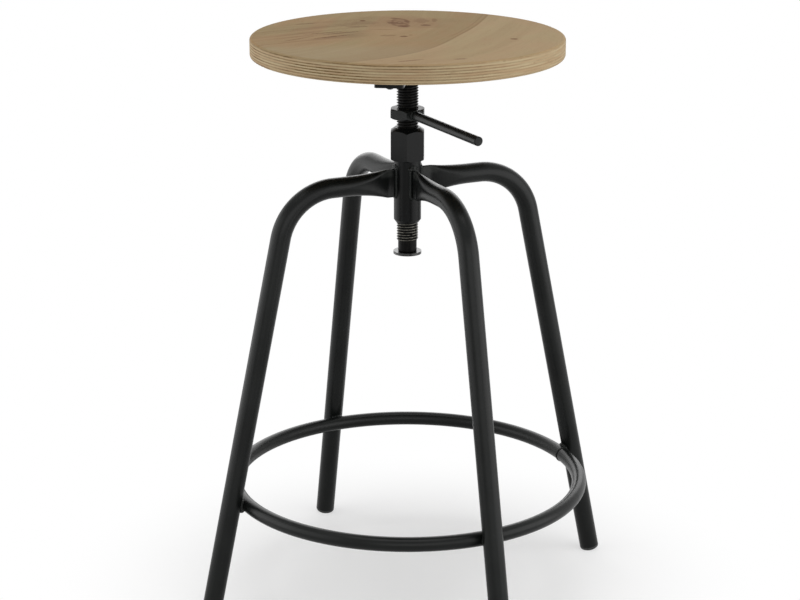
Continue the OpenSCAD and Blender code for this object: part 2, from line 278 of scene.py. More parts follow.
def lock_coat():
    """Thin black coat on the nut and its lever, rubbed a little where hands hold it."""
    material, m = new_material("rubbed_black_coat")
    at = m.place()
    held = m.fade(m.axis_distance(at), HAND_START, HAND_FULL)
    fine = m.noise(m.spread(at, 0.8), detail=3)
    cloud = m.noise(m.spread(at, 9), detail=3)
    scuff = m.fade(cloud, 0.52, 0.72) * (0.25 + 0.75 * held)
    colour = m.mixed(m.fade(cloud, 0.3, 0.7), srgb(17, 18, 18), srgb(27, 29, 28))
    colour = m.mixed(scuff * 0.35, colour, srgb(66, 68, 66))
    m.surface({
        "Base Color": colour,
        "Roughness": 0.24 + 0.12 * cloud + 0.05 * fine,
        "Specular IOR Level": 0.12,
        "Normal": m.bump(fine, 0.03 * MM),
    })
    return material


def thread_steel():
    """Black oxide on the spindle, worn to bare metal on the crests that run through the hub."""
    material, m = new_material("oxide_steel_with_worn_crests")
    at = m.place()
    z = m.split(at)[2]
    patch = m.noise(m.spread(at, 3.5), detail=3)
    fine = m.noise(m.spread(at, 0.7), detail=2)
    crest = m.fade(m.axis_distance(at) + patch * 0.5, THREAD_R / MM - 0.7, THREAD_R / MM + 0.1)
    lower = m.fade(z, SLEEVE_BOTTOM_Z / MM + 6, SLEEVE_BOTTOM_Z / MM - 4)
    faint_rub = 0.036 * m.fade(patch, 0.5, 0.7)
    worn = crest * (0.8 * lower * m.fade(patch, 0.25, 0.55) + faint_rub)
    oily = m.mixed(m.fade(patch, 0.35, 0.7), srgb(8, 8, 8), srgb(16, 15, 13))
    m.surface({
        "Base Color": m.mixed(worn, oily, srgb(128, 126, 118)),
        "Metallic": worn,
        "Roughness": 0.26 + 0.16 * patch,
        "Specular IOR Level": 0.06,
        "Normal": m.bump(fine, 0.03 * MM),
    })
    return material


# From how far out the washer's rim is painted lighter as a highlight, and where it is lightest, in
# millimetres
RIM_GLINT_START = 14.9
RIM_GLINT_FULL = 16.0


def washer_steel():
    """Oiled black oxide on the stop washer, a little lighter round its rim as a painted highlight."""
    material, m = new_material("oiled_oxide_washer")
    at = m.place()
    patch = m.noise(m.spread(at, 3), detail=3)
    # Painted highlight: the rim's colour is made lighter in patches
    rim = m.fade(m.axis_distance(at) + patch, RIM_GLINT_START, RIM_GLINT_FULL)
    m.surface({
        "Base Color": m.mixed(rim * 0.25 * patch, srgb(14, 14, 14), srgb(90, 90, 86)),
        "Roughness": 0.2 + 0.14 * patch,
        "Specular IOR Level": 0.45,
        "Normal": m.bump(patch, 0.04 * MM),
    })
    return material


def black_fastener():
    """Black oxide screws: a little bluish, with a fine grain."""
    material, m = new_material("black_oxide_fasteners")
    at = m.place()
    fine = m.noise(m.spread(at, 0.5), detail=2)
    patch = m.noise(m.spread(at, 4), detail=2)
    m.surface({
        "Base Color": m.mixed(m.fade(patch, 0.3, 0.7), srgb(24, 25, 27), srgb(44, 45, 46)),
        "Metallic": 0.35 + 0.3 * patch,
        "Roughness": 0.28 + 0.16 * fine,
        "Normal": m.bump(fine, 0.02 * MM),
    })
    return material


def insert_brass():
    """Plain brass with turned marks and a dull patch here and there."""
    material, m = new_material("plain_brass")
    at = m.place()
    x, y, z = m.split(at)
    patch = m.noise(m.spread(at, 3), detail=3)
    turned = m.noise(m.joined(x * 0.1, y * 0.1, z * 4), detail=2)
    m.surface({
        "Base Color": m.mixed(patch, srgb(196, 160, 92), srgb(166, 128, 66)),
        "Metallic": 1.0,
        "Roughness": 0.28 + 0.2 * patch,
        "Normal": m.bump(turned, 0.04 * MM),
    })
    return material


def foot_plastic():
    """Moulded black plastic with a fine matt texture, scuffed and dusty near the floor."""
    material, m = new_material("moulded_black_plastic")
    at = m.place()
    z = m.split(at)[2]
    grain = m.noise(m.spread(at, 0.6), detail=2)
    patch = m.noise(m.spread(at, 5), detail=3)
    low = m.fade(z + patch * 2, 3.5, 0.5)
    colour = m.mixed(m.fade(patch, 0.35, 0.7), srgb(27, 29, 28), srgb(38, 40, 39))
    colour = m.mixed(low * 0.35, colour, srgb(86, 84, 78))
    m.surface({
        "Base Color": colour,
        "Roughness": 0.5 + 0.2 * grain,
        "Normal": m.bump(grain, 0.06 * MM),
    })
    return material


# The oak's colours
INNER_OAK = srgb(156, 135, 95)
ROSY_INNER_OAK = srgb(162, 131, 93)
FRONT_INNER_OAK = srgb(162, 143, 110)
OUTER_OAK = srgb(172, 150, 112)
ROSY_OUTER_OAK = srgb(175, 147, 111)
LIGHT_STREAK = srgb(180, 158, 120)
DARK_OAK = srgb(140, 110, 73)
KNOT_BROWN = srgb(98, 58, 22)
# The oak's marks are laid out as the camera sees them: x to the right and y away, in millimetres
FIGURE_TURN = math.radians(19.96)
# How ragged the edge of a mark is
RAGGED = 2.0
# Marks: x, y, half length, half width, direction in degrees, depth
OAK_MARKS = [
    (-15, 86, 74, 46, 0, 0.2),
    (-12, 110, 12, 3.4, 150, 0.8),
    (-1, 92, 9, 3.6, 100, 0.8),
    (-16, 81, 7, 5, 170, 0.95),
    (-8, 76, 12, 3, 150, 0.75),
    (-4, 60, 8, 7, 140, 1.0),
    (-10, 84, 14, 28, 0, 0.4),
    (-27, 38, 18, 2.5, 175, 0.35),
    (-4, -5, 5, 3.6, 10, 1.0),
    (3, 3, 2.4, 3, 0, 0.4),
    (-21, 0, 10, 6, 20, 0.35),
    (15, 95, 9, 20, 0, 0.35),
    (20, 66, 7, 5, 160, 0.8),
    (30, 100, 4, 14, 0, 0.4),
    (-50, 95, 3.4, 5, 0, 0.95),
    (-46, 82, 18, 13, 10, 0.22),
    (-55, 57, 14, 6, 15, 0.4),
    (-80, -7, 26, 3.0, 32, 0.75),
    (-89, 17, 28, 2.6, 27, 0.6),
    (-71, 16, 24, 2.6, 29, 0.6),
    (-118, -22, 28, 2.6, 45, 0.35),
    (-113, 75, 16, 4, 25, 0.4),
    (114, -21, 3.4, 5, 75, 0.9),
    (54, -137, 8, 2.6, 15, 0.6),
    (3, -146, 18, 3, 28, 0.45),
]
# The big knot's dark rings: middle, half width and half length
KNOT_X = -9
KNOT_Y = 82
KNOT_WIDE = 13
KNOT_LONG = 32
# The growth ring that parts the dark wood from the pale: it runs along +Y and bends away at both ends
PALE_EDGE_X = 53
PALE_EDGE_Y = 10
FRONT_BEND = 9.9e-6
REAR_BEND = 5.8e-4
# Knots that the grain flows round, in the stool's own directions: x, y, radius, and how much longer than
# wide the flow round them is
BENDS = [(-36, 72, 20), (-3, -6, 7), (-79, 72, 8), (112, 20, 4)]
BEND_STRETCH = 1.7
# How softly the flow eases inside a knot, and how far the grain wanders by itself, in millimetres
BEND_SOFTNESS = 0.45
GRAIN_WANDER = 14
# Dark lines sweep in from the left: how far left of the middle they level out, how softly and how steeply
SWEEP_START = 50
SWEEP_SOFTNESS = 30
SWEEP_SLOPE = 0.31


def blot(m, at, mark):
    """Its depth inside an oval mark and 0 outside, with a soft ragged edge."""
    x, y, half_length, half_width, direction, depth = mark
    along, across, _ = m.split(m.turned(m.moved(at, (x, y, 0)), -math.radians(direction)))
    ragged = m.noise(m.spread(at, half_width * 0.8), detail=3)
    oval = (along * along) / half_length ** 2 + (across * across) / half_width ** 2
    return depth * m.fade(oval + RAGGED * (ragged - 0.5), 1.1, 0.3)


def growth_ring(m, at):
    """Distance across the growth rings from the one that parts the dark wood from the pale."""
    x, y, _ = m.split(at)
    front = (PALE_EDGE_Y - y).math("MAXIMUM", 0.0)
    rear = (y - PALE_EDGE_Y).math("MAXIMUM", 0.0)
    return x + FRONT_BEND * front.math("POWER", 3.0) + REAR_BEND * rear * rear - PALE_EDGE_X


def main_grain(m, at):
    """Distance across the grain, which follows the growth rings and flows round the knots."""
    x, y, _ = m.split(at)
    across = growth_ring(m, at)
    for knot_x, knot_y, radius in BENDS:
        dx = x - knot_x
        dy = (y - knot_y) / BEND_STRETCH
        across = across - dx * radius * radius / (dx * dx + dy * dy + BEND_SOFTNESS * radius * radius)
    wander = m.noise(m.joined(x / 46, y / 150, 0), detail=2)
    return across + GRAIN_WANDER * (wander - 0.5)


def knot_rings(m, at):
    """Thin dark rings, bent and broken, round the heart of the big knot."""
    x, y, _ = m.split(m.moved(at, (KNOT_X, KNOT_Y, 0)))
    bent = m.noise(m.spread(at, 14), detail=3)
    out = ((x * x) / KNOT_WIDE ** 2 + (y * y) / KNOT_LONG ** 2).math("SQRT") + 0.9 * (bent - 0.5)
    broken = m.noise(m.spread(at, 9), detail=2)
    rings = m.fade((out * 11).math("SINE"), -0.1, 0.8) * m.fade(broken, 0.34, 0.5)
    return rings * m.fade(out, 1.3, 0.85)


def swept_lines(m, x, y):
    """Dark lines that sweep in from the left edge and level out below the knot."""
    inward = x + SWEEP_START
    rise = SWEEP_SLOPE * (inward - (inward * inward + SWEEP_SOFTNESS ** 2).math("SQRT"))
    across = y - rise
    lines = m.noise(m.joined(across / 9, x / 190, 2.5), detail=3, roughness=0.5)
    fine = m.noise(m.joined(across / 2.2, x / 90, 3.5), detail=2)
    sides = m.fade(x, -30, -64) * m.fade(x, -150, -100, 0.6, 1.0)
    region = sides * m.fade(across, -24, 10) * m.fade(across, 132, 92)
    return region * (0.75 * m.fade(lines, 0.42, 0.64) + 0.3 * m.fade(fine, 0.45, 0.7))


def oak_leaf():
    """Matt oak face leaf: grain, pores, knots and the curved edge of its paler wood."""
    material, m = new_material("oak_face_leaf")
    place = m.place()
    at = m.turned(place, -FIGURE_TURN)
    x, y, _ = m.split(at)
    along = m.split(place)[1]
    across = main_grain(m, place)
    broad = m.noise(m.joined(across / 17, along / 240, 0.5), detail=3, roughness=0.5)
    streak = m.noise(m.joined(across / 4.2, along / 120, 4.5), detail=3, roughness=0.55)
    fine = m.noise(m.joined(across / 0.9, along / 42, 8.5), detail=3, roughness=0.6)
    pores = m.noise(m.joined(across / 0.42, along / 6.5, 2.5), detail=1)
    blush = m.noise(m.joined(across / 42, along / 80, 6.5), detail=2)
    ring = growth_ring(m, place) + 3 * (m.noise(m.spread(place, 60), detail=1) - 0.5)
    is_rosy = m.fade(blush, 0.4, 0.62) * 0.8
    inner = m.mixed(is_rosy, INNER_OAK, ROSY_INNER_OAK)
    inner = m.mixed(m.fade(y, -40, -100) * 0.8, inner, FRONT_INNER_OAK)
    inner = m.mixed(m.fade(ring, -60, -4) * 0.35, inner, DARK_OAK)
    outer = m.mixed(is_rosy, OUTER_OAK, ROSY_OUTER_OAK)
    colour = m.mixed(m.fade(ring, -1.2, 1.2), inner, outer)
    colour = m.mixed(m.fade(broad, 0.4, 0.68) * 0.2, colour, DARK_OAK)
    colour = m.mixed(m.fade(streak, 0.5, 0.72) * 0.14, colour, LIGHT_STREAK)
    colour = m.mixed(m.fade(fine, 0.5, 0.75) * 0.14, colour, DARK_OAK)
    edge_line = m.fade((ring + 1.5).math("ABSOLUTE"), 2.2, 0.3) * m.fade(along, -120, 40, 0.4, 1.0)
    inner_line = m.fade((ring + 6.8).math("ABSOLUTE"), 1.6, 0.3) * m.fade(along, 0, 30)
    colour = m.mixed(0.2 * edge_line + 0.2 * inner_line, colour, KNOT_BROWN)
    colour = m.mixed(0.5 * swept_lines(m, x, y), colour, KNOT_BROWN)
    colour = m.mixed(0.5 * knot_rings(m, at), colour, KNOT_BROWN)
    for mark in OAK_MARKS:
        colour = m.mixed(blot(m, at, mark), colour, KNOT_BROWN)
    pore = m.fade(pores, 0.63, 0.74)
    colour = m.mixed(pore * 0.2, colour, KNOT_BROWN)
    height = 0.35 * fine + 0.25 * streak - 0.9 * pore
    m.surface({
        "Base Color": colour,
        "Roughness": 0.68 + 0.12 * fine + 0.1 * pore,
        "Specular IOR Level": 0.1,
        "Normal": m.bump(height, 0.05 * MM),
    })
    return material


# Plies of the panel, light and dark in turn
SEAT_PLIES = 14
# The side on which the dark plies stand out most
BOLD_SIDE = math.radians(-160)
PALE_PLY = srgb(186, 168, 134)
TAN_PLY = srgb(176, 150, 117)
DARK_PLY = srgb(104, 82, 52)
BROWN_PLY = srgb(138, 116, 82)
GLUE_LINE = srgb(96, 74, 46)
PLY_DASH = srgb(128, 108, 80)
PLY_FIBRE = srgb(116, 98, 72)
UNDER_PALE = srgb(178, 158, 126)
UNDER_DARK = srgb(150, 128, 97)
UNDER_PORE = srgb(104, 84, 60)


def ply_edge():
    """Bare plywood edge: light and dark plies, and long grain on the underside."""
    material, m = new_material("plywood_edge")
    at = m.place()
    x, y, z = m.split(at)
    across = main_grain(m, at)
    ply_t = (CORE_TOP_Z - SEAT_Z) / MM / SEAT_PLIES
    waver = m.noise(m.joined(x / 30, y / 30, z / 14), detail=2)
    height = z - SEAT_Z / MM + 0.5 * (waver - 0.5)
    ply = height / ply_t
    ply_number = ply.math("FLOOR")
    in_pair = (ply / 2).math("FRACT")
    dark_ply = m.fade(in_pair, 0.47, 0.56) * m.fade(in_pair, 1.0, 0.93)
    dashes = m.noise(m.joined(x / 9, y / 9, ply_number * 5.3), detail=3, roughness=0.6)
    blotch = m.noise(m.joined(x / 46, y / 46, ply_number * 2.7), detail=2)
    fibres = m.noise(m.joined(x / 1.4, y / 1.4, z / 0.35), detail=2)
    towards = (x * math.cos(BOLD_SIDE) + y * math.sin(BOLD_SIDE)) / (SEAT_R / MM)
    bold = m.noise(m.joined(ply_number * 7.7, x / 90, y / 90), detail=1)
    contrast = m.fade(towards, -0.9, 0.5, 0.3, 1.0) * m.fade(bold, 0.3, 0.6, 0.45, 1.0)
    light = m.mixed(m.fade(blotch, 0.35, 0.65), PALE_PLY, TAN_PLY)
    dark = m.mixed(m.fade(dashes, 0.35, 0.65), DARK_PLY, BROWN_PLY)
    colour = m.mixed(dark_ply * contrast, light, dark)
    glue = m.fade(CORE_TOP_Z / MM - z, 0.6, 0.25)
    colour = m.mixed(glue * 0.6 * contrast, colour, GLUE_LINE)
    colour = m.mixed(m.fade(dashes, 0.62, 0.75) * 0.35, colour, PLY_DASH)
    colour = m.mixed(m.fade(fibres, 0.5, 0.8) * 0.18, colour, PLY_FIBRE)
    under_grain = m.noise(m.joined(across / 2.6, y / 90, 3.5), detail=4, roughness=0.6)
    under = m.mixed(m.fade(under_grain, 0.35, 0.65), UNDER_PALE, UNDER_DARK)
    pores = m.noise(m.joined(across / 0.5, y / 8, 6.5), detail=1)
    under = m.mixed(m.fade(pores, 0.62, 0.74) * 0.3, under, UNDER_PORE)
    is_under = m.fade(z - SEAT_Z / MM, 0.35, 0.05)
    m.surface({
        "Base Color": m.mixed(is_under, colour, under),
        "Roughness": 0.62 + 0.16 * fibres,
        "Specular IOR Level": 0.12,
        "Normal": m.bump(0.4 * fibres - 0.5 * dark_ply, 0.06 * MM),
    })
    return material


# The frame coat carries the painted highlight on the pressed leg ends; the hub coat has none
FRAME_COAT = powder_coat(
    "satin_black_powder_coat", srgb(10, 12, 11), srgb(17, 19, 18),
    specular=0.17, roughness=0.24, glint_share=1.0
)
HUB_COAT = powder_coat(
    "smooth_black_hub_coat", srgb(7, 8, 8), srgb(12, 13, 13),
    specular=0.11, roughness=0.22, glint_share=0.0
)
WELD_COAT = weld_coat()
LOCK_COAT = lock_coat()
THREAD_STEEL = thread_steel()
WASHER_STEEL = washer_steel()
FASTENER = black_fastener()
BRASS = insert_brass()
PLASTIC = foot_plastic()
PLIES = ply_edge()
OAK = oak_leaf()


def dress(node, finish):
    """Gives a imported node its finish."""
    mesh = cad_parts[node].data
    mesh.materials.clear()
    mesh.materials.append(finish)


def dress_nodes():
    """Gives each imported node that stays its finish."""
    finishes = {
        FRAME_COAT: ["foot_ring"],
        HUB_COAT: ["hub", "seat_bracket"],
        LOCK_COAT: ["lock_nut", "lock_lever"],
        WASHER_STEEL: ["stop_washer"],
        FASTENER: ["stop_screw", "seat_bolts"],
        BRASS: ["seat_inserts"],
        PLIES: ["seat_core"],
        OAK: ["seat_face_leaf"],
        PLASTIC: ["cap_" + corner for corner in LEG_ANGLES],
    }
    for finish, nodes in finishes.items():
        for node in nodes:
            dress(node, finish)


def finished(name, bm, body, finish, sharp_angle=40, replaces=()):
    """Makes a piece of a bmesh: smooth but for its sharp edges, and riding on its body."""
    mesh = bpy.data.meshes.new(name)
    bm.to_mesh(mesh)
    bm.free()
    mesh.shade_smooth()
    mesh.set_sharp_from_angle(angle=math.radians(sharp_angle))
    mesh.materials.append(finish)
    piece = bpy.data.objects.new(name, mesh)
    bpy.context.collection.objects.link(piece)
    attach(piece, body)
    if replaces:
        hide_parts(*replaces)


# Points closer than this are one
DOUBLED = 0.002 * MM


def clean(bm):
    """Merges doubled points and turns every face outwards."""
    bmesh.ops.remove_doubles(bm, verts=bm.verts, dist=DOUBLED)
    bmesh.ops.recalc_face_normals(bm, faces=bm.faces)


def drawn(bm, rim):
    """Extrudes an open rim of edges where it lies; returns the new rim's points and edges."""
    made = bmesh.ops.extrude_edge_only(bm, edges=rim)["geom"]
    points = [part for part in made if isinstance(part, bmesh.types.BMVert)]
    known = set(points)
    edges = [
        part for part in made
        if isinstance(part, bmesh.types.BMEdge) and all(end in known for end in part.verts)
    ]
    return points, edges


def between(start, end, share):
    """The value a share of the way from start to end."""
    return start + (end - start) * share


# How finely a leg's tube is divided: round it, and along its pressed end, its bend and its shin
LEG_SIDES = 48
BLADE_STEPS = 36
BEND_STEPS = 40
SHIN_STEPS = 10


def leg_axis():
    """The bend's centre and its end, and the tube's end above its cap, in the leg's own plane."""
    knee_r = LEG_FOOT_R - LEG_Z * math.tan(LEG_SPLAY)
    start_r = knee_r - LEG_BEND_R * math.tan((math.pi / 2 - LEG_SPLAY) / 2)
    centre = Vector((start_r, 0, LEG_Z - LEG_BEND_R))
    bend_end = centre + LEG_BEND_R * Vector((math.cos(LEG_SPLAY), 0, math.sin(LEG_SPLAY)))
    rim_r = LEG_R - CAP_EDGE_R
    lift = rim_r * math.sin(LEG_SPLAY) + CAP_EDGE_R * (1 - math.cos(LEG_SPLAY)) - FOOT_FLAT
    along = lift / math.cos(LEG_SPLAY) + CAP_HEAD
    tube_end = Vector((LEG_FOOT_R, 0, 0)) + along * Vector((-math.sin(LEG_SPLAY), 0, math.cos(LEG_SPLAY)))
    return centre, bend_end, tube_end


# How far from the axis each leg's end is pressed fully flat, in millimetres
PRESS_ENDS = {"front_right": 27, "rear_right": 28, "rear_left": 27, "front_left": 24}
# How quickly a pressed end opens to the round tube, and how hollow its faces are
PRESS_POWER = 2.2
BLADE_DISH = 1.3 * MM


def flatten_blade(bm, press_end):
    """Presses the tube flat and a little hollow towards the hub, and rounds its end to the sleeve."""
    for point in bm.verts:
        x, y, z = point.co
        if x > BLADE_END:
            continue
        opened = 1 - (1 - max(0, (x - press_end) / (BLADE_END - press_end))) ** PRESS_POWER
        half_t = between(BLADE_T / 2, LEG_R, opened)
        half_h = between(BLADE_H / 2, LEG_R, opened)
        side = math.copysign(1, z - LEG_Z)
        round_share = y / LEG_R
        y = round_share * half_t
        up = side * (half_h - half_t) + (z - LEG_Z) * half_t / LEG_R
        middle = 1 - (up / half_h) ** 2
        y -= round_share * BLADE_DISH * middle * (1 - opened)
        if x < BLADE_ROOT + DOUBLED:
            x = math.sqrt(BLADE_ROOT ** 2 - y ** 2)
        point.co = x, y, LEG_Z + up - BLADE_DROP * (1 - opened)


def make_leg(corner, angle):
    """A leg: round tube, flattened at the hub, bent at the knee, with a real wall."""
    centre, bend_end, tube_end = leg_axis()
    bm = bmesh.new()
    ring = bmesh.ops.create_circle(bm, segments=LEG_SIDES, radius=LEG_R)["verts"]
    half_step = Matrix.Rotation(math.pi / LEG_SIDES, 3, "Z")
    bmesh.ops.rotate(bm, verts=ring, matrix=Matrix.Rotation(math.pi / 2, 3, "Y") @ half_step)
    bmesh.ops.translate(bm, verts=ring, vec=(BLADE_ROOT, 0, LEG_Z))
    rim = list(bm.edges)
    stops = [between(BLADE_ROOT, BLADE_END, k / BLADE_STEPS) for k in range(BLADE_STEPS + 1)]
    for here, there in zip(stops, stops[1:] + [centre.x]):
        points, rim = drawn(bm, rim)
        bmesh.ops.translate(bm, verts=points, vec=(there - here, 0, 0))
    bent = bmesh.ops.spin(
        bm, geom=rim, cent=centre, axis=(0, 1, 0), angle=math.pi / 2 - LEG_SPLAY, steps=BEND_STEPS
    )["geom_last"]
    rim = [part for part in bent if isinstance(part, bmesh.types.BMEdge)]
    for k in range(SHIN_STEPS):
        points, rim = drawn(bm, rim)
        bmesh.ops.translate(bm, verts=points, vec=(tube_end - bend_end) / SHIN_STEPS)
    clean(bm)
    flatten_blade(bm, PRESS_ENDS[corner] * MM)
    bmesh.ops.solidify(bm, geom=bm.faces, thickness=LEG_WALL)
    bmesh.ops.rotate(bm, verts=bm.verts, matrix=Matrix.Rotation(math.radians(angle), 3, "Z"))
    node = "leg_" + corner
    finished(node + "_tube", bm, "frame", FRAME_COAT, replaces=[node])


# Weld beads: sides of a bead, about how long one dab of it is, and its thickness between the dabs, over
# them and in its slow lumps, as shares of its radius
BEAD_SIDES = 12
BEAD_DAB_LEN = 2.3 * MM
BEAD_BETWEEN_DABS = 0.86
BEAD_DAB = 0.17
BEAD_LUMP = 0.16


def swept_bead(bm, centres, outwards, thickness):
    """A closed round bead along a closed path. outwards gives the side that it faces at each point."""
    count = len(centres)
    ring = bmesh.ops.create_circle(bm, segments=BEAD_SIDES, radius=1)["verts"]
    unit = [point.co.copy() for point in ring]
    rim = list({edge for point in ring for edge in point.link_edges})
    for k in range(count + 1):
        if k:
            ring, rim = drawn(bm, rim)
        here = k % count
        ahead = (centres[(here + 1) % count] - centres[here - 1]).normalized()
        across = ahead.cross(outwards[here]).normalized()
        out = across.cross(ahead)
        for point, spot in zip(ring, unit):
            point.co = centres[here] + thickness[here] * (spot.x * across + spot.y * out)


def path_bead(bm, spots, outwards, radius, seed):
    """A weld bead of dabs along a closed path of points."""
    lengths = [0.0]
    for here, there in zip(spots, spots[1:]):
        lengths.append(lengths[-1] + (there - here).length)
    whole = lengths[-1] + (spots[0] - spots[-1]).length
    dab_len = whole / round(whole / BEAD_DAB_LEN)
    thickness = []
    for length in lengths:
        around = math.tau * length / whole
        lump = noise.noise(Vector((2.2 * math.cos(around), 2.2 * math.sin(around), seed)))
        dab = abs(math.sin(math.pi * length / dab_len)) ** 0.6
        thickness.append(radius * (BEAD_BETWEEN_DABS + BEAD_DAB * dab + BEAD_LUMP * lump))
    swept_bead(bm, spots, outwards, thickness)


def circle_path(centre, axis, radius, count):
    """Points round a circle, with the directions away from its centre."""
    turn = UP.rotation_difference(axis)
    outwards = [
        turn @ Vector((math.cos(math.tau * k / count), math.sin(math.tau * k / count), 0))
        for k in range(count)
    ]
    return [centre + radius * out for out in outwards], outwards


# The bead round a leg's pressed end: its radius, how far it stands off the end's faces and off its top
# and bottom, how far off the sleeve its middle runs, and the points on its round ends and straight sides
HUB_BEAD_R = 1.8 * MM
HUB_BEAD_OUT = 0.9 * MM
HUB_BEAD_OVER = 0.2 * MM
HUB_BEAD_OFF = 0.1 * MM
HUB_BEAD_TURNS = 14
HUB_BEAD_SIDES = 46
# Blobs where the weld goes over the top: side, from -1 to 1, height over the pressed end, and radius
HUB_LUMPS = [(-1, 0.2 * MM, 3.2 * MM), (1, 1.4 * MM, 2.7 * MM), (0.2, 2.2 * MM, 2.9 * MM)]
# How deep a blob sits in the sleeve and how uneven it is, as shares of its radius
LUMP_SUNK = 0.3
LUMP_UNEVEN = 0.3


def add_lump(bm, turn, side, z, radius, number):
    """A blob of weld against the sleeve, beside or over the top of a leg's flattened end."""
    y = side * (BLADE_T / 2 + HUB_BEAD_OUT)
    middle = turn @ Vector((math.sqrt(SLEEVE_R ** 2 - y ** 2) - LUMP_SUNK * radius, y, z))
    blob = bmesh.ops.create_icosphere(bm, subdivisions=4, radius=radius)["verts"]
    for point in blob:
        facing = point.co.normalized()
        lump = noise.noise(facing * 1.6 + Vector((number * 4.0, side * 3.0, 0)))
        point.co = middle + point.co * (1 + LUMP_UNEVEN * lump)


def blade_outline():
    """Where the bead round a leg's pressed end runs: points across and up from the end's middle."""
    half_t = BLADE_T / 2 + HUB_BEAD_OUT
    half_h = BLADE_H / 2 - half_t + HUB_BEAD_OVER
    turns = [math.pi * k / HUB_BEAD_TURNS for k in range(HUB_BEAD_TURNS)]
    heights = [between(half_h, -half_h, k / HUB_BEAD_SIDES) for k in range(HUB_BEAD_SIDES)]
    half = [(half_t * math.cos(turn), half_h + half_t * math.sin(turn)) for turn in turns]
    half += [(-half_t, height) for height in heights]
    return half + [(-across, -up) for across, up in half]


def make_hub_welds():
    """A bead round each pressed leg end, where it meets the sleeve, with lumps over the top."""
    bm = bmesh.new()
    blade_z = LEG_Z - BLADE_DROP
    for number, angle in enumerate(LEG_ANGLES.values()):
        turn = Matrix.Rotation(math.radians(angle), 3, "Z")
        spots = [
            turn @ Vector((math.sqrt((SLEEVE_R + HUB_BEAD_OFF) ** 2 - y ** 2), y, blade_z + z))
            for y, z in blade_outline()
        ]
        outwards = [turn @ Vector((1, 0, 0))] * len(spots)
        path_bead(bm, spots, outwards, HUB_BEAD_R, seed=3.1 * number)
        for side, height, radius in HUB_LUMPS:
            add_lump(bm, turn, side, blade_z + BLADE_H / 2 + height, radius, number)
    clean(bm)
    finished("hub_weld_ripples", bm, "frame", WELD_COAT, replaces=["hub_weld_beads"])


# The weld between a leg and the ring: its radius, how much wider and taller than thick it is, and how
# uneven it is in lumps and in its dabs
RING_WELD_R = 6.6 * MM
RING_WELD_WIDE = 1.25
RING_WELD_TALL = 1.35
RING_WELD_LUMP = 0.07
RING_WELD_DAB = 0.022
RING_WELD_DABS = 16
# The bead that closes the ring: its radius, how deep it sits and its points
SEAM_BEAD_R = 1.3 * MM
SEAM_BEAD_SUNK = 0.4 * MM
SEAM_BEAD_STEPS = 90


def make_ring_welds():
    """A lumpy weld where each leg meets the foot ring, and the bead that closes the ring."""
    leg_r = LEG_FOOT_R - RING_Z * math.tan(LEG_SPLAY)
    contact_r = leg_r - LEG_R / math.cos(LEG_SPLAY)
    ring_r = leg_r - (LEG_R + RING_TUBE_R - RING_LET_IN) / math.cos(LEG_SPLAY)
    bm = bmesh.new()
    for number, angle in enumerate(LEG_ANGLES.values()):
        turn = Matrix.Rotation(math.radians(angle), 3, "Z")
        contact = turn @ Vector((contact_r, 0, RING_Z))
        blob = bmesh.ops.create_icosphere(bm, subdivisions=5, radius=RING_WELD_R)["verts"]
        for point in blob:
            facing = point.co.normalized()
            lump = noise.noise(facing * 2.4 + Vector((number * 5.0, 0, 0)))
            dab = math.sin(RING_WELD_DABS * math.atan2(facing.z, facing.y))
            uneven = point.co * (1 + RING_WELD_LUMP * lump + RING_WELD_DAB * dab)
            radial, tangential, upward = uneven
            spread = Vector((radial, RING_WELD_WIDE * tangential, RING_WELD_TALL * upward))
            point.co = contact + turn @ spread
    finished("ring_leg_welds", bm, "frame", WELD_COAT)

    bm = bmesh.new()
    outward = Vector((math.cos(RING_SEAM_ANGLE), math.sin(RING_SEAM_ANGLE), 0))
    along = UP.cross(outward)
    centre = ring_r * outward + RING_Z * UP
    spots, outwards = circle_path(centre, along, RING_TUBE_R - SEAM_BEAD_SUNK, SEAM_BEAD_STEPS)
    path_bead(bm, spots, outwards, SEAM_BEAD_R, seed=9.0)
    clean(bm)
    finished("ring_closing_weld", bm, "frame", WELD_COAT)


# The beads at the lever's root and under the bracket: their radius, how far in from the lever's side or out
# from the spindle's their middle runs, their points, and how far off the face both lie
LEVER_BEAD_R = 1.3 * MM
LEVER_BEAD_SUNK = 0.1 * MM
LEVER_BEAD_STEPS = 80
BRACKET_BEAD_R = 2.0 * MM
BRACKET_BEAD_OUT = 0.4 * MM
BRACKET_BEAD_STEPS = 130
BEAD_OFF_FACE = 0.3 * MM


def make_small_welds():
    """The beads round the lever's root and round the spindle's top under the bracket."""
    bm = bmesh.new()
    axis = Vector((math.cos(LEVER_ANGLE), math.sin(LEVER_ANGLE), 0))
    root = (NUT_FLAT_R + BEAD_OFF_FACE) * axis + NUT_MID_Z * UP
    spots, outwards = circle_path(root, axis, LEVER_R - LEVER_BEAD_SUNK, LEVER_BEAD_STEPS)
    path_bead(bm, spots, outwards, LEVER_BEAD_R, seed=14.0)
    clean(bm)
    finished("lever_weld", bm, "lock", WELD_COAT)

    bm = bmesh.new()
    top = (BRACKET_Z - BEAD_OFF_FACE) * UP
    spots, outwards = circle_path(top, UP, THREAD_R + BRACKET_BEAD_OUT, BRACKET_BEAD_STEPS)
    path_bead(bm, spots, outwards, BRACKET_BEAD_R, seed=21.0)
    clean(bm)
    finished("bracket_weld", bm, "seat", WELD_COAT)


# The spindle: sides of its core, steps in one turn of its thread, how deep the ridge's foot sits, how far
# over its foot the ridge ends, and how quickly it grows from its ends to its full height
CORE_SIDES = 72
TURN_STEPS = 40
RIDGE_SUNK = 0.3 * MM
RIDGE_END = 0.05 * MM
RUN_OUT = 1.6


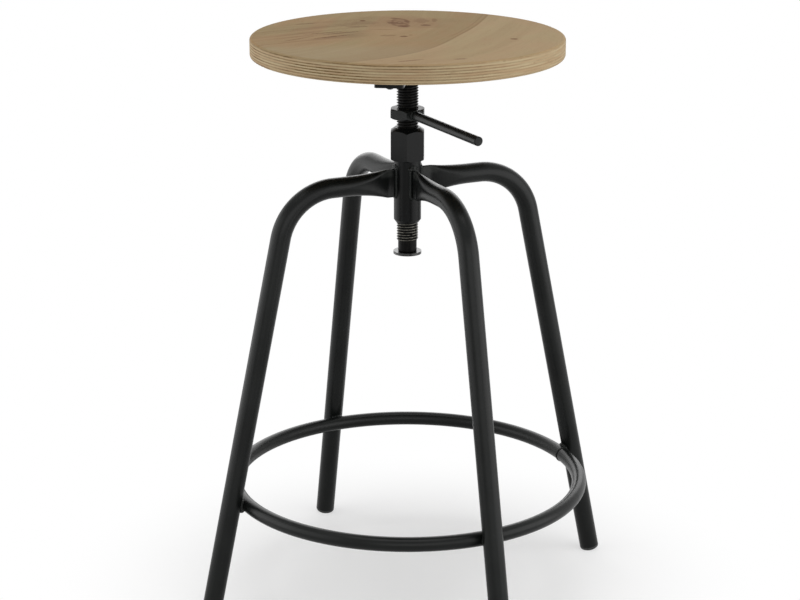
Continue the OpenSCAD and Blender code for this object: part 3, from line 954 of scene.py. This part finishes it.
def make_spindle():
    """The spindle with a true right-hand thread."""
    thread_z = SPINDLE_Z + NECK_LEN
    turns = math.floor((BRACKET_Z - SHANK_LEN - thread_z) / PITCH + 0.001)
    shank_z = thread_z + turns * PITCH
    bm = bmesh.new()
    profile = [
        (0, SPINDLE_Z + SCREW_HOLE_LEN), (SCREW_HOLE_R, SPINDLE_Z + SCREW_HOLE_LEN),
        (SCREW_HOLE_R, SPINDLE_Z), (ROOT_R - SPINDLE_CHAMFER, SPINDLE_Z),
        (ROOT_R, SPINDLE_Z + SPINDLE_CHAMFER),
        (ROOT_R, shank_z), (THREAD_R, shank_z + THREAD_R - ROOT_R), (THREAD_R, BRACKET_Z),
        (SPIGOT_R, BRACKET_Z), (SPIGOT_R, SEAT_Z), (0, SEAT_Z),
    ]
    points = [bm.verts.new((x, 0, z)) for x, z in profile]
    edges = [bm.edges.new(pair) for pair in zip(points, points[1:])]
    bmesh.ops.spin(bm, geom=points + edges, axis=UP, angle=math.tau, steps=CORE_SIDES, use_merge=True)
    clean(bm)

    ridge = bmesh.new()
    crest = PITCH / 16
    flank = PITCH * 5 / 16
    inner_r = ROOT_R - RIDGE_SUNK
    section = [(inner_r, -crest - flank), (THREAD_R, -crest), (THREAD_R, crest), (inner_r, crest + flank)]
    start_z = thread_z + crest + flank
    climb = (turns - 1) * PITCH
    points = [ridge.verts.new((x, 0, start_z + z)) for x, z in section]
    edges = [ridge.edges.new(pair) for pair in zip(points, points[1:] + points[:1])]
    steps = (turns - 1) * TURN_STEPS
    bmesh.ops.spin(
        ridge, geom=points + edges, axis=UP, dvec=(0, 0, PITCH / TURN_STEPS),
        angle=math.tau * (turns - 1), steps=steps
    )
    bmesh.ops.holes_fill(ridge, edges=ridge.edges, sides=4)
    for point in ridge.verts:
        share = (point.co.z - start_z + crest) / PITCH
        left = (start_z + climb + crest - point.co.z) / PITCH
        full = min(1, max(0.0, min(share, left)) * RUN_OUT)
        radius = math.hypot(point.co.x, point.co.y)
        if radius > ROOT_R:
            shrink = between(inner_r + RIDGE_END, radius, full) / radius
            point.co.x *= shrink
            point.co.y *= shrink
    bmesh.ops.recalc_face_normals(ridge, faces=ridge.faces)
    thread = bpy.data.meshes.new("thread_ridge")
    ridge.to_mesh(thread)
    ridge.free()
    bm.from_mesh(thread)
    finished(
        "threaded_spindle", bm, "seat", THREAD_STEEL,
        sharp_angle=28, replaces=["spindle"]
    )


# The photograph's camera: how far round from the front it stands, and what it looks at
CAMERA_TURN = math.radians(19.85)
CAMERA_DISTANCE = 2.324
CAMERA_HEIGHT = 1.0465
AIM_SIDE = -8.2 * MM
AIM_HEIGHT = 342.8 * MM
CAMERA_LENS = 98.0


def round_the_stool(bearing, distance, height):
    """A place round the stool, its bearing counted in degrees to the right of the camera's."""
    turn = Matrix.Rotation(CAMERA_TURN + math.radians(bearing), 3, "Z")
    return turn @ Vector((0, -distance, height))


def aimed(name, data, place, aim):
    """Puts a lamp or camera at a place, looking at a point, upright."""
    thing = bpy.data.objects.new(name, data)
    thing.location = place
    thing.rotation_euler = (aim - place).to_track_quat("-Z", "Y").to_euler()
    bpy.context.collection.objects.link(thing)
    return thing


def make_camera():
    """The camera at the photograph's place, with its lens."""
    data = bpy.data.cameras.new("photograph_view")
    data.sensor_width = 36
    data.lens = CAMERA_LENS
    data.clip_start = 0.1
    place = round_the_stool(0, CAMERA_DISTANCE, CAMERA_HEIGHT)
    aim = Matrix.Rotation(CAMERA_TURN, 3, "Z") @ Vector((AIM_SIDE, 0, AIM_HEIGHT))
    bpy.context.scene.camera = aimed("photograph_view", data, place, aim)


# Soft lamps: bearing to the camera's right in degrees, distance, height of the middle, width, tallness
# and radiance
LAMPS = {
    "left_softbox": (-99, 1.2, 0.49, 1.2, 0.96, 1.5),
    "left_front_softbox": (-61, 1.2, 0.56, 0.8, 1.1, 1.1),
    "right_softbox": (69, 1.2, 0.54, 1.35, 1.06, 2.0),
    "back_softbox": (180, 2.9, 1.25, 3.2, 1.6, 1.6),
    "front_softbox": (8, 2.9, 1.0, 2.8, 1.6, 1.4),
    "overhead_softbox": (0, 0.2, 2.4, 1.6, 1.4, 2.2),
}
LAMP_AIM = Vector((0, 0, 0.4))
FILL = 0.2
# The floor keeps its shadow out to the first radius and is plain white past the second
SHADOW_R = 0.1
WHITE_R = 0.42
FLOOR_R = 1.7
WHITE = (1, 1, 1, 1)
PLAIN_FLOOR = (0.6, 0.6, 0.6, 1)
SHADED_FLOOR = (0.8, 0.8, 0.8, 1)
FLOOR_GLOW = 0.2


def make_lamps():
    """The soft lamps, each with the power that gives its face its radiance."""
    for name, (bearing, distance, height, width, tall, radiance) in LAMPS.items():
        data = bpy.data.lights.new(name, "AREA")
        data.shape = "RECTANGLE"
        data.size = width
        data.size_y = tall
        data.energy = radiance * math.pi * width * tall
        aimed(name, data, round_the_stool(bearing, distance, height), LAMP_AIM)


def white_share(m):
    """How much of the white surroundings a ray sees."""
    rays = m.node("ShaderNodeLightPath").socket.node.outputs
    camera, glossy, transmission = [
        Term(m, rays[f"Is {kind} Ray"]) for kind in ("Camera", "Glossy", "Transmission")
    ]
    return camera + glossy + transmission


def make_world():
    """White behind the stool, dim where it only lights it."""
    world = bpy.data.worlds.new("studio")
    bpy.context.scene.world = world
    world.use_nodes = True
    w = Nodes(world.node_tree)
    dim = w.node("ShaderNodeBackground", inputs={"Color": WHITE, "Strength": FILL})
    white = w.node("ShaderNodeBackground", inputs={"Color": WHITE, "Strength": 1})
    mixed = w.node("ShaderNodeMixShader", inputs={0: white_share(w), 1: dim, 2: white})
    w.node_output("ShaderNodeOutputWorld", mixed)


def make_floor():
    """A pale floor that keeps the soft shadow and runs out into white."""
    bm = bmesh.new()
    bmesh.ops.create_circle(bm, cap_ends=True, segments=96, radius=FLOOR_R)
    mesh = bpy.data.meshes.new("floor")
    bm.to_mesh(mesh)
    bm.free()
    floor = bpy.data.objects.new("floor", mesh)
    bpy.context.collection.objects.link(floor)
    material, m = new_material("pale_floor")
    far = m.fade(m.axis_distance(m.place()) * MM, SHADOW_R, WHITE_R)
    plain = m.node("ShaderNodeBsdfDiffuse", inputs={"Color": PLAIN_FLOOR})
    shaded = m.node("ShaderNodeBsdfDiffuse", inputs={"Color": SHADED_FLOOR})
    glow = m.node("ShaderNodeEmission", inputs={"Color": WHITE, "Strength": FLOOR_GLOW})
    white = m.node("ShaderNodeEmission", inputs={"Color": WHITE, "Strength": 1})
    near = m.node("ShaderNodeAddShader", inputs={0: shaded, 1: glow})
    bright = m.node("ShaderNodeMixShader", inputs={0: far, 1: near, 2: white})
    mixed = m.node("ShaderNodeMixShader", inputs={0: white_share(m), 1: plain, 2: bright})
    m.node_output("ShaderNodeOutputMaterial", mixed)
    mesh.materials.append(material)


dress_nodes()
for corner, angle in LEG_ANGLES.items():
    make_leg(corner, angle)
make_hub_welds()
make_ring_welds()
make_small_welds()
make_spindle()
make_camera()
make_lamps()
make_world()
make_floor()
bpy.context.scene.view_settings.view_transform = "Standard"
